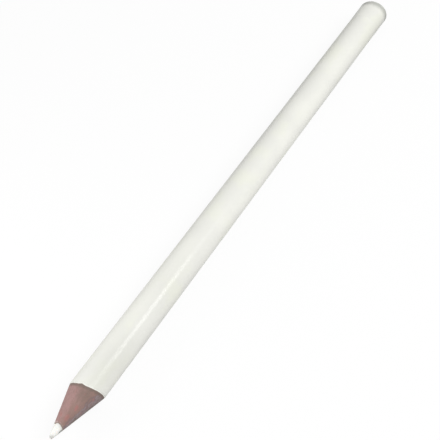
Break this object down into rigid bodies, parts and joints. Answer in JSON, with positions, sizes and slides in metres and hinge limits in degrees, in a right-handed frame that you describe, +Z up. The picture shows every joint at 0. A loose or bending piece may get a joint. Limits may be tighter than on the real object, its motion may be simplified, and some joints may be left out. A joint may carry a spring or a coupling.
{
  "type": "colored pencil",
  "caption": "Round wood-cased colored pencil with white lacquer, a sharpened wood cone, a blunt white core and a dipped, crowned end.",
  "frame": {"origin": "under the middle of the pencil's length, on the surface it lies on", "axes": "+X along the barrel from the sharpened point toward the dipped end, +Z up"},
  "size_m": [0.175, 0.008, 0.008],
  "materials": {
    "core": "waxy matte",
    "glue": "cured wood glue",
    "wood": "freshly cut reddish softwood",
    "primer": "matte filler",
    "base_lacquer": "satin lacquer",
    "gloss_lacquer": "gloss lacquer",
    "dip_lacquer": "gloss lacquer"
  },
  "bodies": {
    "root": {"pigment_core": "core", "casing_glue": "glue", "upper_slat": "wood", "lower_slat": "wood", "primer_coat": "primer", "base_coat": "base_lacquer", "gloss_coat": "gloss_lacquer", "end_dip": "dip_lacquer"}
  },
  "joints": []
}
